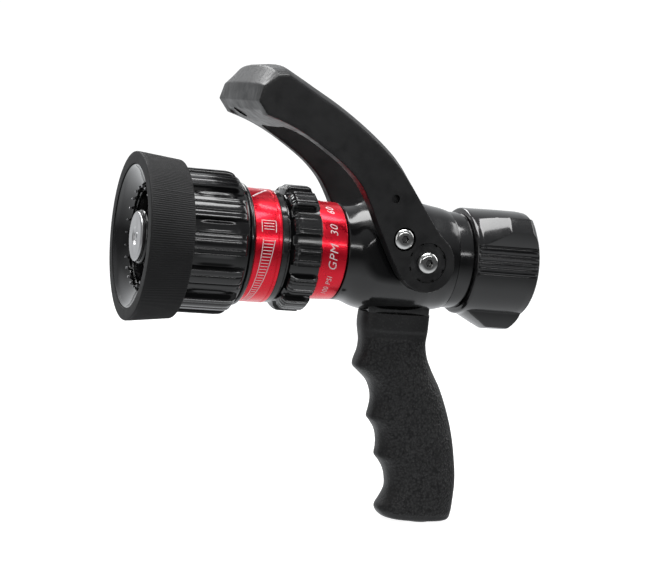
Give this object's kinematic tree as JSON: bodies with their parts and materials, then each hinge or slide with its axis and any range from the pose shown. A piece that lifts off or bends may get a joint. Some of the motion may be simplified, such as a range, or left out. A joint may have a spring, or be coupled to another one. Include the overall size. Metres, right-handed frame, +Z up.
{
  "type": "fire hose nozzle",
  "caption": "Pistol grip fog and straight stream hose nozzle with a bail shut-off handle, turning pattern sleeve, flow selector ring and swivel hose coupling.",
  "frame": {"origin": "centre of the swivel coupling's mouth, where the hose screws in", "axes": "+X along the stream axis towards the hose, +Z up, away from the pistol grip; the water leaves towards -X"},
  "size_m": [0.244, 0.097, 0.2621],
  "materials": {
    "black_anodised": "hard anodised gloss",
    "red_anodised": "anodised gloss",
    "black_powder_coat": "satin",
    "grip_plastic": "fine leather texture",
    "bumper_rubber": "fine ribbed matte",
    "seal_rubber": "matte",
    "stainless": "polished",
    "black_steel": "black oxide",
    "bare_aluminium": "machined",
    "bronze": "turned",
    "ptfe": "waxy"
  },
  "bodies": {
    "valve_body_group": {"valve_body": "black_anodised", "rear_adapter": "black_anodised", "front_seat": "ptfe", "rear_seat": "ptfe", "seat_orings": "seal_rubber", "stem_bushes": "bronze", "neck_set_screw": "stainless", "front_barrel": "black_anodised", "barrel_orings": "seal_rubber", "pattern_band": "red_anodised", "stop_ring": "black_anodised", "detent_balls": "stainless", "detent_springs": "stainless", "pistol_grip": "grip_plastic", "grip_plug": "grip_plastic", "grip_bolt": "stainless", "grip_washer": "stainless"},
    "bail_handle_group": {"bail_handle": "black_powder_coat", "handle_hubs": "black_anodised", "pivot_screws": "stainless", "handle_screws": "stainless", "crossbar_screw": "black_steel", "drive_stems": "stainless", "ball": "stainless"},
    "selector_group": {"selector_ring": "black_anodised", "flow_band": "red_anodised"},
    "stem_group": {"flow_stem": "stainless", "stem_spider": "bare_aluminium", "cam_pins": "stainless", "baffle_body": "black_anodised", "baffle_cap": "bare_aluminium"},
    "glide_group": {"glide_ring": "ptfe"},
    "sleeve_group": {"pattern_sleeve": "black_anodised", "shaper_bell": "black_anodised", "bumper": "bumper_rubber"},
    "teeth_group": {"fog_teeth": "black_anodised"},
    "swivel_group": {"swivel_coupling": "black_anodised", "race_balls": "stainless", "hose_gasket": "seal_rubber", "inlet_strainer": "stainless"}
  },
  "joints": [
    {"name": "bail_turn", "type": "hinge", "parent": "valve_body_group", "child": "bail_handle_group", "pos_m": [-0.0765, 0, 0], "axis": [0, 1, 0], "range_deg": [0, 78]},
    {"name": "selector_turn", "type": "hinge", "parent": "valve_body_group", "child": "selector_group", "pos_m": [-0.148, 0, 0], "axis": [1, 0, 0], "range_deg": [0, 90]},
    {"name": "stem_slide", "type": "slide", "parent": "valve_body_group", "child": "stem_group", "axis": [-1, 0, 0], "range_m": [0, 0.003]},
    {"name": "sleeve_slide", "type": "slide", "parent": "valve_body_group", "child": "glide_group", "axis": [-1, 0, 0], "range_m": [0, 0.012]},
    {"name": "sleeve_turn", "type": "hinge", "parent": "glide_group", "child": "sleeve_group", "pos_m": [-0.21, 0, 0], "axis": [1, 0, 0], "range_deg": [0, 120]},
    {"name": "teeth_spin", "type": "hinge", "parent": "sleeve_group", "child": "teeth_group", "pos_m": [-0.232, 0, 0], "axis": [1, 0, 0], "continuous": true},
    {"name": "swivel_spin", "type": "hinge", "parent": "valve_body_group", "child": "swivel_group", "pos_m": [-0.0315, 0, 0], "axis": [1, 0, 0], "continuous": true}
  ],
  "couplings": [
    {"joint": "stem_slide", "follows": "selector_turn", "m_per_rad": 0.0019098},
    {"joint": "sleeve_slide", "follows": "sleeve_turn", "m_per_rad": 0.0057295}
  ]
}
